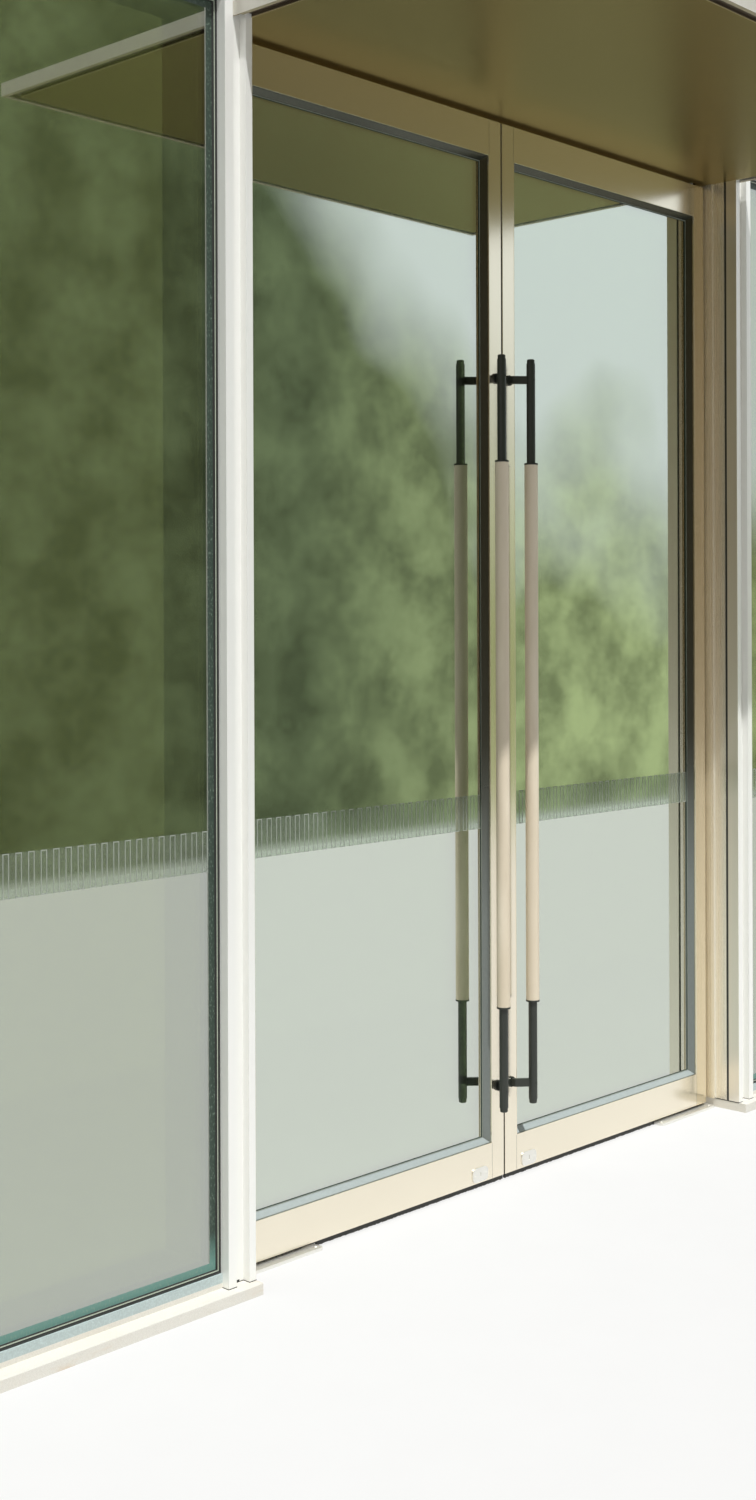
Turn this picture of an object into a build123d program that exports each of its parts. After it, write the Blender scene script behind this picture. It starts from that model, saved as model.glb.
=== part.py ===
"""Double glass entrance door in a metal portal with a canopy and one fixed glazed bay on each side.

Millimetres, +Z up. X runs along the facade and -Y points to the street. The origin is on the underside
of the left plinth, on the left mullion's centre line, in the middle plane of the door leaves.
"""

import os
from math import atan, degrees

from build123d import *

# Doorway and leaves
OPENING_WIDTH = 2140
LEAF_HEIGHT = 3000
LEAF_THICKNESS = 60
FLOOR_GAP = 16
SOFFIT_GAP = 12
MEETING_GAP = 6
HEEL_GAP = 6
HEEL_RADIUS = 44
HINGE_STILE_FACE = 67
MEETING_STILE_FACE = 52
TOP_RAIL_FACE = 100
BOTTOM_RAIL_FACE = 100
EDGE_ROUND = 1.5

# Glazing of the leaves and of the side bays
LEAF_GLASS_THICKNESS = 12
BAY_GLASS_THICKNESS = 15
GASKET_THICKNESS = 4
GROOVE_DEPTH = 15
GLASS_BITE = 10
BEAD_LIP = 2
LEAF_BEAD_REACH = 15
LEAF_BEAD_DEPTH = 17
BAY_BEAD_REACH = 10
BAY_BEAD_DEPTH = 8

# Mullions: two fins in front with a channel between them
MULLION_WIDTH = 87
MULLION_WALL = 4
OUTER_FIN = 25
INNER_FIN = 21
CHANNEL_DEPTH = 22
LEAF_SETBACK = 110
BAY_GLASS_SETBACK = 36
FRAME_BACK = 88

# Jamb linings beside the leaves
JAMB_THICKNESS = 20
JAMB_SETBACK = 46
SHADOW_JOINT = 8
PAD_PROJECTION = 6
PAD_MARGIN = 21

# Plinths, side bays and the members over them
PLINTH_HEIGHT = 28
PLINTH_PROJECTION = 25
PLINTH_CHAMFER = 2
BAY_WIDTH = 1150
UPSTAND_HEIGHT = 12
SILL_HEIGHT = 21
SILL_WALL = 10
LEDGE_HEIGHT = 46
HEAD_BEAM_HEIGHT = 152
TRANSOM_HEIGHT = 140
TRANSOM_SETBACK = 10

# Canopy
CANOPY_PROJECTION = 848
CANOPY_HEIGHT = 36
SOFFIT_THICKNESS = 20
SOFFIT_JOINT_SIDE = 37
SOFFIT_JOINT_FRONT = 33
FASCIA_THICKNESS = 5
DECK_THICKNESS = 4

# Floor closers and top pivots
CLOSER_LENGTH = 300
CLOSER_WIDTH = 110
CLOSER_HEIGHT = 8
CLOSER_ROUND = 6
SPINDLE_RADIUS = 12
SPINDLE_REACH = 22
TOP_PIN_RADIUS = 10
TOP_PIN_REACH = 18
FLANGE_RADIUS = 18
FLANGE_HEIGHT = 6
FLANGE_CLEARANCE = 0.5
PIVOT_CLEARANCE = 0.05
PIVOT_END_CLEARANCE = 2

# Pull handles
PULL_RADIUS = 12.5
PULL_BOTTOM = 216
PULL_TOP = 2343
PULL_STANDOFF = 52
PULL_FROM_CENTRE = 66
PULL_CAP_RADIUS = 11
PULL_CAP_HEIGHT = 12
PULL_CAP_CHAMFER = 2
GRIP_RADIUS = 19
GRIP_BOTTOM = 512
GRIP_TOP = 2041
GRIP_CLEARANCE = 0.1
COLLAR_RADIUS = 19.5
COLLAR_HEIGHT = 5
BRACKET_FROM_END = 59
BRACKET_HEIGHT = 22
BRACKET_THICKNESS = 12
BRACKET_STEM = 18
BRACKET_FLANGE_RADIUS = 15
BRACKET_FLANGE_HEIGHT = 5

# Floor lock in the bottom rail
LOCK_FROM_CENTRE = 110
LOCK_WIDTH = 66
LOCK_HEIGHT = 40
LOCK_PROJECTION = 3
LOCK_LIFT = 4
LOCK_ROUND = 14
KEYWAY_WIDTH = 4
KEYWAY_HEIGHT = 14
KEYWAY_DEPTH = 2

# Places along the facade
HALF_MULLION = MULLION_WIDTH / 2
JAMB_FACE = HALF_MULLION
DOOR_CENTRE = HALF_MULLION + OPENING_WIDTH / 2
HEEL_EDGE = JAMB_FACE + PAD_PROJECTION + HEEL_GAP
PIVOT_X = HEEL_EDGE + HEEL_RADIUS
MEETING_EDGE = DOOR_CENTRE - MEETING_GAP / 2
RAIL_START = HEEL_EDGE + HINGE_STILE_FACE
RAIL_END = MEETING_EDGE - MEETING_STILE_FACE
BAY_INNER = -HALF_MULLION
BAY_OUTER = BAY_INNER - BAY_WIDTH
END_MULLION_X = BAY_OUTER - HALF_MULLION
FACADE_END = END_MULLION_X - HALF_MULLION

# Places in depth, from the middle plane of the leaves
LEAF_FACE = -LEAF_THICKNESS / 2
LEAF_GROOVE = LEAF_GLASS_THICKNESS + 2 * GASKET_THICKNESS
FIN_FACE = LEAF_FACE - LEAF_SETBACK
BAY_GLASS_FACE = FIN_FACE + BAY_GLASS_SETBACK
BAY_GLASS_MIDDLE = BAY_GLASS_FACE + BAY_GLASS_THICKNESS / 2
BAY_GROOVE = BAY_GLASS_THICKNESS + 2 * GASKET_THICKNESS
SILL_FRONT = BAY_GLASS_MIDDLE - BAY_GROOVE / 2 - SILL_WALL
SILL_BACK = BAY_GLASS_MIDDLE + BAY_GROOVE / 2 + SILL_WALL
JAMB_FRONT = FIN_FACE + JAMB_SETBACK
SOFFIT_FRONT = FIN_FACE - CANOPY_PROJECTION
CANOPY_FRONT = SOFFIT_FRONT - SOFFIT_JOINT_FRONT - FASCIA_THICKNESS
CHANNEL_FLOOR = FIN_FACE + CHANNEL_DEPTH
STEP_FRONT = JAMB_FRONT - SHADOW_JOINT

# Heights
LEAF_BOTTOM = FLOOR_GAP
LEAF_TOP = LEAF_BOTTOM + LEAF_HEIGHT
SOFFIT_LEVEL = LEAF_TOP + SOFFIT_GAP
HEAD_LEVEL = SOFFIT_LEVEL + SOFFIT_THICKNESS
FACADE_TOP = HEAD_LEVEL + HEAD_BEAM_HEIGHT
UPSTAND_TOP = PLINTH_HEIGHT + UPSTAND_HEIGHT
SILL_TOP = UPSTAND_TOP + SILL_HEIGHT
TRANSOM_LEVEL = FACADE_TOP - TRANSOM_HEIGHT

CENTRE_PLANE = Plane.YZ.offset(DOOR_CENTRE)


def write(piece, name):
    """Label a finished piece and write it to its own file."""
    piece.part.label = name
    export_step(piece.part, f"parts/{name}.step")


def write_pair(piece, name):
    """Write a left-hand piece and its mirror image on the other side of the doorway."""
    write(piece, f"{name}_left")
    with BuildPart() as twin:
        mirror(piece.part, about=CENTRE_PLANE)
    write(twin, f"{name}_right")


def span(start, end):
    """Centre and length of a stretch, for a rectangle that is placed by its middle."""
    return (start + end) / 2, abs(end - start)


def rectangle_between(x_from, x_to, y_from, y_to, mode=Mode.ADD):
    """Rectangle between two corners of the current sketch plane."""
    x_middle, width = span(x_from, x_to)
    y_middle, height = span(y_from, y_to)
    with Locations((x_middle, y_middle)):
        Rectangle(width, height, mode=mode)


def draw_inset(daylight, inset):
    """Rectangle inside a daylight opening, or outside it with a negative inset."""
    x_from, x_to, z_from, z_to = daylight
    rectangle_between(x_from + inset, x_to - inset, z_from + inset, z_to - inset)


def bead_slope(reach, depth):
    """Angle at which a glazing bead falls from its lip at the front to its reach on the pane."""
    return degrees(atan((reach - BEAD_LIP) / depth))


def draw_mullion(centre, bay_sides, jamb_side):
    """Section of a mullion in plan: fins, channel, hollow core, glazing grooves and a step for the jamb."""
    outer, inner = centre - HALF_MULLION, centre + HALF_MULLION
    rectangle_between(outer, inner, FIN_FACE, FRAME_BACK)
    rectangle_between(outer + OUTER_FIN, inner - INNER_FIN, FIN_FACE, CHANNEL_FLOOR, mode=Mode.SUBTRACT)
    step = JAMB_THICKNESS if jamb_side else 0
    if jamb_side:
        rectangle_between(inner - step, inner, STEP_FRONT, FRAME_BACK, mode=Mode.SUBTRACT)
    groove_front, groove_back = BAY_GLASS_MIDDLE - BAY_GROOVE / 2, BAY_GLASS_MIDDLE + BAY_GROOVE / 2
    for side in bay_sides:
        edge = centre + side * HALF_MULLION
        rectangle_between(edge, edge - side * GROOVE_DEPTH, groove_front, groove_back, mode=Mode.SUBTRACT)
    core_front = groove_back + MULLION_WALL
    rectangle_between(
        outer + MULLION_WALL, inner - step - MULLION_WALL,
        core_front, FRAME_BACK - MULLION_WALL, mode=Mode.SUBTRACT,
    )


os.makedirs("parts", exist_ok=True)

# Plinths that carry the mullions and the side bays, with an upstand along the foot of the pane
# and a ledge behind it
with BuildPart() as plinth:
    with BuildSketch(Plane.YZ.offset(FACADE_END)):
        rectangle_between(FIN_FACE - PLINTH_PROJECTION, FRAME_BACK, 0, PLINTH_HEIGHT)
    extrude(amount=JAMB_FACE - FACADE_END)
    front_top_edge = plinth.edges().filter_by(Axis.X).group_by(Axis.Z)[-1].sort_by(Axis.Y)[0]
    chamfer(front_top_edge, PLINTH_CHAMFER)
    with BuildSketch(Plane.YZ.offset(BAY_OUTER)):
        rectangle_between(SILL_FRONT, SILL_BACK, PLINTH_HEIGHT, UPSTAND_TOP)
        rectangle_between(SILL_BACK, FRAME_BACK, PLINTH_HEIGHT, PLINTH_HEIGHT + LEDGE_HEIGHT)
    extrude(amount=BAY_WIDTH)
write_pair(plinth, "plinth")

# Mullions beside the doorway and at the far ends of the bays
with BuildPart() as mullion:
    with BuildSketch(Plane.XY.offset(PLINTH_HEIGHT)):
        draw_mullion(0, bay_sides=[-1], jamb_side=True)
    extrude(amount=FACADE_TOP - PLINTH_HEIGHT)
write_pair(mullion, "mullion")

with BuildPart() as end_mullion:
    with BuildSketch(Plane.XY.offset(PLINTH_HEIGHT)):
        draw_mullion(END_MULLION_X, bay_sides=[-1, 1], jamb_side=False)
    extrude(amount=FACADE_TOP - PLINTH_HEIGHT)
write_pair(end_mullion, "end_mullion")

# Jamb linings, with the raised pad that the rounded heel of the leaf turns against
with BuildPart() as jamb:
    with BuildSketch(Plane.XY.offset(PLINTH_HEIGHT)):
        rectangle_between(JAMB_FACE - JAMB_THICKNESS, JAMB_FACE, JAMB_FRONT, FRAME_BACK)
    extrude(amount=HEAD_LEVEL - PLINTH_HEIGHT)
    with BuildSketch(Plane.XY.offset(PLINTH_HEIGHT)):
        pad_reach = LEAF_THICKNESS / 2 + PAD_MARGIN
        rectangle_between(JAMB_FACE, JAMB_FACE + PAD_PROJECTION, -pad_reach, pad_reach)
    extrude(amount=SOFFIT_LEVEL - PLINTH_HEIGHT)
write_pair(jamb, "jamb")

# Channel on the upstand that holds the foot of the fixed pane
with BuildPart() as sill_channel:
    with BuildSketch(Plane.YZ.offset(BAY_OUTER)):
        rectangle_between(SILL_FRONT, SILL_BACK, UPSTAND_TOP, SILL_TOP)
        with Locations((BAY_GLASS_MIDDLE, SILL_TOP)):
            Rectangle(BAY_GROOVE, GROOVE_DEPTH, align=(Align.CENTER, Align.MAX), mode=Mode.SUBTRACT)
    extrude(amount=BAY_WIDTH)
write_pair(sill_channel, "sill_channel")

# Member over the fixed pane
with BuildPart() as head_transom:
    with BuildSketch(Plane.YZ.offset(BAY_OUTER)):
        rectangle_between(FIN_FACE + TRANSOM_SETBACK, FRAME_BACK, TRANSOM_LEVEL, FACADE_TOP)
        with Locations((BAY_GLASS_MIDDLE, TRANSOM_LEVEL)):
            Rectangle(BAY_GROOVE, GROOVE_DEPTH, align=(Align.CENTER, Align.MIN), mode=Mode.SUBTRACT)
    extrude(amount=BAY_WIDTH)
write_pair(head_transom, "head_transom")

# Fixed pane and its gaskets, with a sloping bead on each face
bay_daylight = (BAY_OUTER, BAY_INNER, SILL_TOP, TRANSOM_LEVEL)
with BuildPart() as side_glass:
    with BuildSketch(Plane.XZ.offset(-BAY_GLASS_MIDDLE)):
        draw_inset(bay_daylight, -GLASS_BITE)
    extrude(amount=BAY_GLASS_THICKNESS / 2, both=True)
write_pair(side_glass, "side_glass")

bay_glass_plane = Plane.XZ.offset(-BAY_GLASS_FACE)
with BuildPart() as side_gasket:
    with BuildSketch(bay_glass_plane):
        draw_inset(bay_daylight, -GLASS_BITE)
    extrude(amount=GASKET_THICKNESS)
    with BuildSketch(bay_glass_plane):
        draw_inset(bay_daylight, 0)
    extrude(amount=BAY_BEAD_DEPTH)
    with BuildSketch(bay_glass_plane):
        draw_inset(bay_daylight, BAY_BEAD_REACH)
    extrude(amount=BAY_BEAD_DEPTH, taper=-bead_slope(BAY_BEAD_REACH, BAY_BEAD_DEPTH), mode=Mode.SUBTRACT)
    mirror(about=Plane.XZ.offset(-BAY_GLASS_MIDDLE))
write_pair(side_gasket, "side_gasket")

# Beam over the doorway, between the mullions
with BuildPart() as head_beam:
    with BuildSketch(Plane.YZ.offset(JAMB_FACE - JAMB_THICKNESS)):
        rectangle_between(STEP_FRONT, FRAME_BACK, HEAD_LEVEL, FACADE_TOP)
    extrude(amount=OPENING_WIDTH + 2 * JAMB_THICKNESS)
write(head_beam, "head_beam")

# Ceiling of the canopy, which runs back over the leaves
with BuildPart() as canopy_soffit:
    with BuildSketch(Plane.XY.offset(SOFFIT_LEVEL)):
        rectangle_between(JAMB_FACE, JAMB_FACE + OPENING_WIDTH, SOFFIT_FRONT, FRAME_BACK)
        with Locations((PIVOT_X, 0), (2 * DOOR_CENTRE - PIVOT_X, 0)):
            Circle(FLANGE_RADIUS + FLANGE_CLEARANCE, mode=Mode.SUBTRACT)
    extrude(amount=SOFFIT_THICKNESS)
write(canopy_soffit, "canopy_soffit")

# Folded shell of the canopy: fascia on three sides and the deck over them
shell_outer = SOFFIT_JOINT_SIDE + FASCIA_THICKNESS
with BuildPart() as canopy_shell:
    with BuildSketch(Plane.XY.offset(SOFFIT_LEVEL)):
        rectangle_between(
            JAMB_FACE - shell_outer, JAMB_FACE + OPENING_WIDTH + shell_outer, CANOPY_FRONT, CHANNEL_FLOOR
        )
    extrude(amount=CANOPY_HEIGHT)
    with BuildSketch(Plane.XY.offset(SOFFIT_LEVEL)):
        rectangle_between(
            JAMB_FACE - SOFFIT_JOINT_SIDE, JAMB_FACE + OPENING_WIDTH + SOFFIT_JOINT_SIDE,
            CANOPY_FRONT + FASCIA_THICKNESS, CHANNEL_FLOOR,
        )
    extrude(amount=CANOPY_HEIGHT - DECK_THICKNESS, mode=Mode.SUBTRACT)
    with BuildSketch(Plane.XY.offset(SOFFIT_LEVEL)):
        rectangle_between(
            JAMB_FACE - INNER_FIN, JAMB_FACE + OPENING_WIDTH + INNER_FIN, FIN_FACE, CHANNEL_FLOOR
        )
    extrude(amount=CANOPY_HEIGHT, mode=Mode.SUBTRACT)
    with BuildSketch(Plane.XY.offset(SOFFIT_LEVEL + CANOPY_HEIGHT)):
        rectangle_between(JAMB_FACE, JAMB_FACE + OPENING_WIDTH, CANOPY_FRONT + FASCIA_THICKNESS, STEP_FRONT)
    extrude(amount=-DECK_THICKNESS)
write(canopy_shell, "canopy_shell")

# Floor closers: cover plate on the floor and the spindle that carries the leaf
with BuildPart() as floor_closer:
    with BuildSketch(Plane.XY):
        rectangle_between(HEEL_EDGE, HEEL_EDGE + CLOSER_LENGTH, -CLOSER_WIDTH / 2, CLOSER_WIDTH / 2)
    extrude(amount=CLOSER_HEIGHT)
    fillet(floor_closer.edges().filter_by(Axis.Z), CLOSER_ROUND)
    with BuildSketch(Plane.XY):
        with Locations((PIVOT_X, 0)):
            Circle(SPINDLE_RADIUS)
    extrude(amount=LEAF_BOTTOM + SPINDLE_REACH)
write_pair(floor_closer, "floor_closer")

# Top pivots: flange under the head beam and the pin that enters the leaf
with BuildPart() as top_pivot:
    with BuildSketch(Plane.XY.offset(HEAD_LEVEL)):
        with Locations((PIVOT_X, 0)):
            Circle(FLANGE_RADIUS)
    extrude(amount=-FLANGE_HEIGHT)
    with BuildSketch(Plane.XY.offset(HEAD_LEVEL)):
        with Locations((PIVOT_X, 0)):
            Circle(TOP_PIN_RADIUS)
    extrude(amount=LEAF_TOP - TOP_PIN_REACH - HEAD_LEVEL)
write_pair(top_pivot, "top_pivot")

# Stiles of the leaf, each with a groove for the pane
groove_bottom = LEAF_BOTTOM + BOTTOM_RAIL_FACE - GROOVE_DEPTH
groove_top = LEAF_TOP - TOP_RAIL_FACE + GROOVE_DEPTH
with BuildPart() as hinge_stile:
    with BuildSketch(Plane.XY.offset(LEAF_BOTTOM)):
        rectangle_between(HEEL_EDGE, RAIL_START, LEAF_FACE, -LEAF_FACE)
        with Locations((PIVOT_X, 0)):
            Circle(HEEL_RADIUS, mode=Mode.INTERSECT)
    extrude(amount=LEAF_HEIGHT)
    with BuildSketch(Plane.XY.offset(groove_bottom)):
        rectangle_between(RAIL_START - GROOVE_DEPTH, RAIL_START, -LEAF_GROOVE / 2, LEAF_GROOVE / 2)
    extrude(amount=groove_top - groove_bottom, mode=Mode.SUBTRACT)
    with BuildSketch(Plane.XY.offset(LEAF_BOTTOM)):
        with Locations((PIVOT_X, 0)):
            Circle(SPINDLE_RADIUS + PIVOT_CLEARANCE)
    extrude(amount=SPINDLE_REACH + PIVOT_END_CLEARANCE, mode=Mode.SUBTRACT)
    with BuildSketch(Plane.XY.offset(LEAF_TOP)):
        with Locations((PIVOT_X, 0)):
            Circle(TOP_PIN_RADIUS + PIVOT_CLEARANCE)
    extrude(amount=-TOP_PIN_REACH - PIVOT_END_CLEARANCE, mode=Mode.SUBTRACT)
write_pair(hinge_stile, "hinge_stile")

with BuildPart() as meeting_stile:
    with BuildSketch(Plane.XY.offset(LEAF_BOTTOM)):
        rectangle_between(RAIL_END, MEETING_EDGE, LEAF_FACE, -LEAF_FACE)
    extrude(amount=LEAF_HEIGHT)
    with BuildSketch(Plane.XY.offset(groove_bottom)):
        rectangle_between(RAIL_END, RAIL_END + GROOVE_DEPTH, -LEAF_GROOVE / 2, LEAF_GROOVE / 2)
    extrude(amount=groove_top - groove_bottom, mode=Mode.SUBTRACT)
    meeting_edges = meeting_stile.edges().filter_by(Axis.Z).group_by(Axis.X)[-1]
    fillet(meeting_edges, EDGE_ROUND)
write_pair(meeting_stile, "meeting_stile")

# Rails between the stiles
with BuildPart() as top_rail:
    with BuildSketch(Plane.YZ.offset(RAIL_START)):
        rectangle_between(LEAF_FACE, -LEAF_FACE, LEAF_TOP - TOP_RAIL_FACE, LEAF_TOP)
        rectangle_between(
            -LEAF_GROOVE / 2, LEAF_GROOVE / 2, LEAF_TOP - TOP_RAIL_FACE, groove_top, mode=Mode.SUBTRACT
        )
    extrude(amount=RAIL_END - RAIL_START)
write_pair(top_rail, "top_rail")

with BuildPart() as bottom_rail:
    with BuildSketch(Plane.YZ.offset(RAIL_START)):
        rectangle_between(LEAF_FACE, -LEAF_FACE, LEAF_BOTTOM, LEAF_BOTTOM + BOTTOM_RAIL_FACE)
        rectangle_between(
            -LEAF_GROOVE / 2, LEAF_GROOVE / 2, groove_bottom, LEAF_BOTTOM + BOTTOM_RAIL_FACE, mode=Mode.SUBTRACT
        )
    extrude(amount=RAIL_END - RAIL_START)
write_pair(bottom_rail, "bottom_rail")

# Pane of the leaf and its gaskets, with a sloping bead on each face
leaf_daylight = (RAIL_START, RAIL_END, LEAF_BOTTOM + BOTTOM_RAIL_FACE, LEAF_TOP - TOP_RAIL_FACE)
with BuildPart() as leaf_glass:
    with BuildSketch(Plane.XZ):
        draw_inset(leaf_daylight, -GLASS_BITE)
    extrude(amount=LEAF_GLASS_THICKNESS / 2, both=True)
write_pair(leaf_glass, "leaf_glass")

leaf_glass_plane = Plane.XZ.offset(LEAF_GLASS_THICKNESS / 2)
with BuildPart() as leaf_gasket:
    with BuildSketch(leaf_glass_plane):
        draw_inset(leaf_daylight, -GLASS_BITE)
    extrude(amount=GASKET_THICKNESS)
    with BuildSketch(leaf_glass_plane):
        draw_inset(leaf_daylight, 0)
    extrude(amount=LEAF_BEAD_DEPTH)
    with BuildSketch(leaf_glass_plane):
        draw_inset(leaf_daylight, LEAF_BEAD_REACH)
    extrude(amount=LEAF_BEAD_DEPTH, taper=-bead_slope(LEAF_BEAD_REACH, LEAF_BEAD_DEPTH), mode=Mode.SUBTRACT)
    mirror(about=Plane.XZ)
write_pair(leaf_gasket, "leaf_gasket")

# Floor lock: an escutcheon with a keyway on each face of the bottom rail
lock_x = DOOR_CENTRE - LOCK_FROM_CENTRE
lock_z = LEAF_BOTTOM + LOCK_LIFT + LOCK_HEIGHT / 2
with BuildPart() as floor_lock:
    with BuildSketch(Plane.XZ.offset(-LEAF_FACE)):
        with Locations((lock_x, lock_z)):
            RectangleRounded(LOCK_WIDTH, LOCK_HEIGHT, LOCK_ROUND)
    extrude(amount=LOCK_PROJECTION)
    with BuildSketch(Plane.XZ.offset(-LEAF_FACE + LOCK_PROJECTION)):
        with Locations((lock_x, lock_z)):
            SlotOverall(KEYWAY_HEIGHT, KEYWAY_WIDTH, rotation=90)
    extrude(amount=-KEYWAY_DEPTH, mode=Mode.SUBTRACT)
    mirror(about=Plane.XZ)
write_pair(floor_lock, "floor_lock")

# Pull handles: rod with end caps, collars and two cranked brackets
pull_x = DOOR_CENTRE - PULL_FROM_CENTRE
pull_y = LEAF_FACE - PULL_STANDOFF
bracket_x = MEETING_EDGE - MEETING_STILE_FACE / 2
bracket_levels = (PULL_BOTTOM + BRACKET_FROM_END, PULL_TOP - BRACKET_FROM_END)
with BuildPart() as outer_pull:
    with BuildSketch(Plane.XY.offset(PULL_BOTTOM)):
        with Locations((pull_x, pull_y)):
            Circle(PULL_CAP_RADIUS)
    extrude(amount=PULL_TOP - PULL_BOTTOM)
    chamfer(outer_pull.edges(), PULL_CAP_CHAMFER)
    with BuildSketch(Plane.XY.offset(PULL_BOTTOM + PULL_CAP_HEIGHT)):
        with Locations((pull_x, pull_y)):
            Circle(PULL_RADIUS)
    extrude(amount=PULL_TOP - PULL_BOTTOM - 2 * PULL_CAP_HEIGHT)
    for collar_level in (GRIP_BOTTOM - COLLAR_HEIGHT, GRIP_TOP):
        with BuildSketch(Plane.XY.offset(collar_level)):
            with Locations((pull_x, pull_y)):
                Circle(COLLAR_RADIUS)
        extrude(amount=COLLAR_HEIGHT)
    for bracket_level in bracket_levels:
        with BuildSketch(Plane.XY.offset(bracket_level)):
            with BuildLine():
                Polyline((bracket_x, LEAF_FACE), (bracket_x, LEAF_FACE - BRACKET_STEM), (pull_x, pull_y))
                offset(amount=BRACKET_THICKNESS / 2, side=Side.BOTH)
            make_face()
        extrude(amount=BRACKET_HEIGHT / 2, both=True)
        with BuildSketch(Plane.XZ.offset(-LEAF_FACE)):
            with Locations((bracket_x, bracket_level)):
                Circle(BRACKET_FLANGE_RADIUS)
        extrude(amount=BRACKET_FLANGE_HEIGHT)
    split(bisect_by=Plane.XZ.offset(-LEAF_FACE), keep=Keep.TOP)
write_pair(outer_pull, "outer_pull")

with BuildPart() as inner_pull:
    mirror(outer_pull.part, about=Plane.XZ)
write_pair(inner_pull, "inner_pull")

# Grip sleeves over the rods, between the collars
with BuildPart() as outer_grip:
    with BuildSketch(Plane.XY.offset(GRIP_BOTTOM)):
        with Locations((pull_x, pull_y)):
            Circle(GRIP_RADIUS)
            Circle(PULL_RADIUS + GRIP_CLEARANCE, mode=Mode.SUBTRACT)
    extrude(amount=GRIP_TOP - GRIP_BOTTOM)
write_pair(outer_grip, "outer_grip")

with BuildPart() as inner_grip:
    mirror(outer_grip.part, about=Plane.XZ)
write_pair(inner_grip, "inner_grip")
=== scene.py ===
"""Looks of the glass entrance door: finishes, small fittings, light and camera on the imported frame.

Metres, +Z up, in the frame of the CAD model: X runs along the facade and -Y points to the street.
"""

import math
import random

import bmesh
import bpy
from mathutils import Matrix, Vector


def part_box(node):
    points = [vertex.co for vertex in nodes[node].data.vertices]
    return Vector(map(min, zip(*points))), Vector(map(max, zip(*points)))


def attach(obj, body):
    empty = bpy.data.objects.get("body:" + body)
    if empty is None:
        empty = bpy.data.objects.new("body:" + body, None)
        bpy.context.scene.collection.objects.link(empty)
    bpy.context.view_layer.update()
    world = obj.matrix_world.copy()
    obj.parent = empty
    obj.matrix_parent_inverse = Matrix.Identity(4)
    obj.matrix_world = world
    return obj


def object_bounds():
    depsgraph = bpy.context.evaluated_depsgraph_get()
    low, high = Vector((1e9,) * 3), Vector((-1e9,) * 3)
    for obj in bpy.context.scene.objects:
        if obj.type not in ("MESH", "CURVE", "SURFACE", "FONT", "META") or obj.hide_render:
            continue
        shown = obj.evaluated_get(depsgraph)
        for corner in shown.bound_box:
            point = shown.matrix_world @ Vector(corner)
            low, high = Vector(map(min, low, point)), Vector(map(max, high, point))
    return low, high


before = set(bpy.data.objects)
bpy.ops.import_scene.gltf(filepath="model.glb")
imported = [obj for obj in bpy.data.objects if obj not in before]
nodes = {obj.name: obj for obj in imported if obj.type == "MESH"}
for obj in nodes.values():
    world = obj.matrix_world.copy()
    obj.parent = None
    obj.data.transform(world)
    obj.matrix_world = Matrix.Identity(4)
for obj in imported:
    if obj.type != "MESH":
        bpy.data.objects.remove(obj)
cad_box = [list(corner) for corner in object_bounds()]

SIDES = ("left", "right")
MM = 0.001


def colour(red, green, blue):
    """Opaque colour for a socket, in linear light."""
    return (red, green, blue, 1.0)


# Camera, fitted to the photograph
CAMERA_PLACE = Vector((-2.8578, -3.2606, 1.5812))
CAMERA_HEADING = math.radians(46.878)
CAMERA_ROLL = math.radians(-0.186)
CAMERA_LENS = 42.926
CAMERA_SHIFT = -0.0825
SENSOR_SIZE = 36.0

# Light
SUN_DIRECTION = Vector((-0.188, -0.450, 0.873))
SUN_STRENGTH = 3.4
SUN_SIZE = math.radians(0.9)
SKY_STRENGTH = 0.22
BACKGROUND_STRENGTH = 1.0
WHITE = colour(1.0, 1.0, 1.0)

# Floor
FLOOR_REACH = 14.0
FLOOR_DARK = colour(0.63, 0.63, 0.62)
FLOOR_LIGHT = colour(0.70, 0.70, 0.69)
FLOOR_MOTTLE = {"scale": 6.0, "detail": 5.0}
FLOOR_GLOW = colour(1.0, 1.0, 0.99)
FLOOR_GLOW_SHARE = 0.72

# Cards for the mirrors and the metal: how far off they stand, and how far they reach to each side
CARD_DISTANCE = 5.94
CARD_REACH = 45.0

# Tones of the cards, and the stretches along the facade in which one gives way to the next
GROUND_TONE = colour(0.80, 0.80, 0.78)
INNER_TONE = colour(0.19, 0.14, 0.075)
STREET_TONE = colour(0.125, 0.155, 0.085)
BRIGHT_TONE = colour(0.40, 0.47, 0.24)
SKY_TONE = colour(0.92, 0.98, 1.0)
CARD_FOOT = 0.06
STREET_STRETCH = (-4.7, 1.3)
BRIGHT_STRETCH = (6.2, 8.8)

# Heights in which the sky begins. The edge leans down towards the right, and it wavers.
STREET_FADE = (3.65, 5.55)
INNER_FADE = (5.4, 7.1)
LEAN_STRETCH = (5.0, 8.4)
LEAN_DROP = 2.0
WAVER_NOISE = {"scale": 0.53, "detail": 2.0}
WAVER_RANGE = (0.3, 0.7)
WAVER = 0.7

# Mottling of the cards: a range of the noise, and the brightness that it becomes on each card
LEAVES = {"scale": 1.9, "detail": 6.0, "roughness": 0.62}
LEAF_RANGE = (0.36, 0.64)
STREET_MOTTLING = (0.60, 1.42)
INNER_MOTTLING = (0.93, 1.08)


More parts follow.
